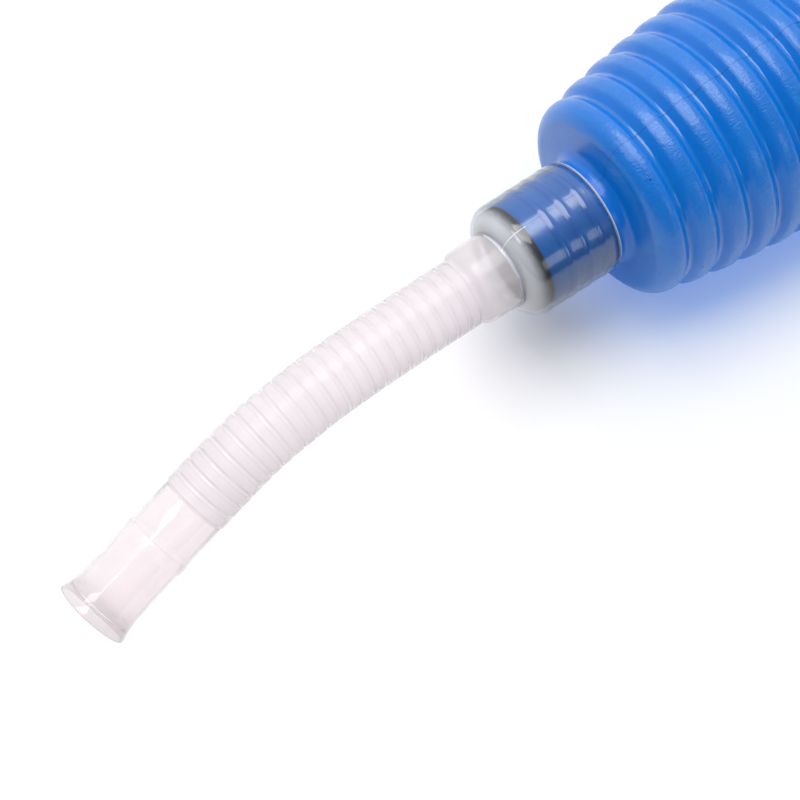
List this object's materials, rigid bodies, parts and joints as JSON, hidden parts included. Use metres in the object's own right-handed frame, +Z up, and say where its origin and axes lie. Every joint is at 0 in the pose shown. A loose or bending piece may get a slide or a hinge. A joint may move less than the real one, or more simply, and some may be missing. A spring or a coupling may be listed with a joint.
{
  "type": "bellows siphon pump",
  "caption": "Hand siphon pump: barrel-shaped squeeze bellows between two ringed necks with flap check valves, and a clear ribbed intake hose with a flared mouth.",
  "frame": {"origin": "on the floor under the middle of the bellows", "axes": "+Z up; X along the pump's axis, with the hose towards -X and the outlet neck towards +X"},
  "size_m": [0.3987, 0.0846, 0.0841],
  "materials": {
    "blue_bellows": "satin, slightly translucent",
    "milky_hose": "glossy, milky translucent",
    "clear_collar": "glossy, clear",
    "black_plastic": "moulded, matte",
    "black_rubber": "matte",
    "steel_pin": "drawn wire"
  },
  "bodies": {
    "pump": {"bellows_front": "blue_bellows", "bellows_folds": "blue_bellows", "intake_gasket": "black_rubber", "intake_seat": "black_plastic", "intake_pin": "steel_pin"},
    "rear_end": {"bellows_rear": "blue_bellows", "outlet_gasket": "black_rubber", "outlet_seat": "black_plastic", "outlet_pin": "steel_pin"},
    "hose": {"hose_collar": "clear_collar", "ribbed_hose": "milky_hose", "hose_mouth": "milky_hose"},
    "intake_flap": {"intake_flap": "black_rubber"},
    "outlet_flap": {"outlet_flap": "black_rubber"}
  },
  "joints": [
    {"name": "bellows_squeeze", "type": "slide", "parent": "pump", "child": "rear_end", "axis": [-1, 0, 0], "range_m": [0, 0.065], "stiffness_N_per_m": 400, "deforming": ["bellows_folds"]},
    {"name": "hose_swivel", "type": "hinge", "parent": "pump", "child": "hose", "pos_m": [-0.1005, 0, 0.0418], "axis": [1, 0, 0], "continuous": true},
    {"name": "intake_flap_hinge", "type": "hinge", "parent": "pump", "child": "intake_flap", "pos_m": [-0.11211, 0, 0.05375], "axis": [0, -1, 0], "range_deg": [0, 55]},
    {"name": "outlet_flap_hinge", "type": "hinge", "parent": "rear_end", "child": "outlet_flap", "pos_m": [0.09541, 0, 0.05375], "axis": [0, -1, 0], "range_deg": [0, 55]}
  ]
}
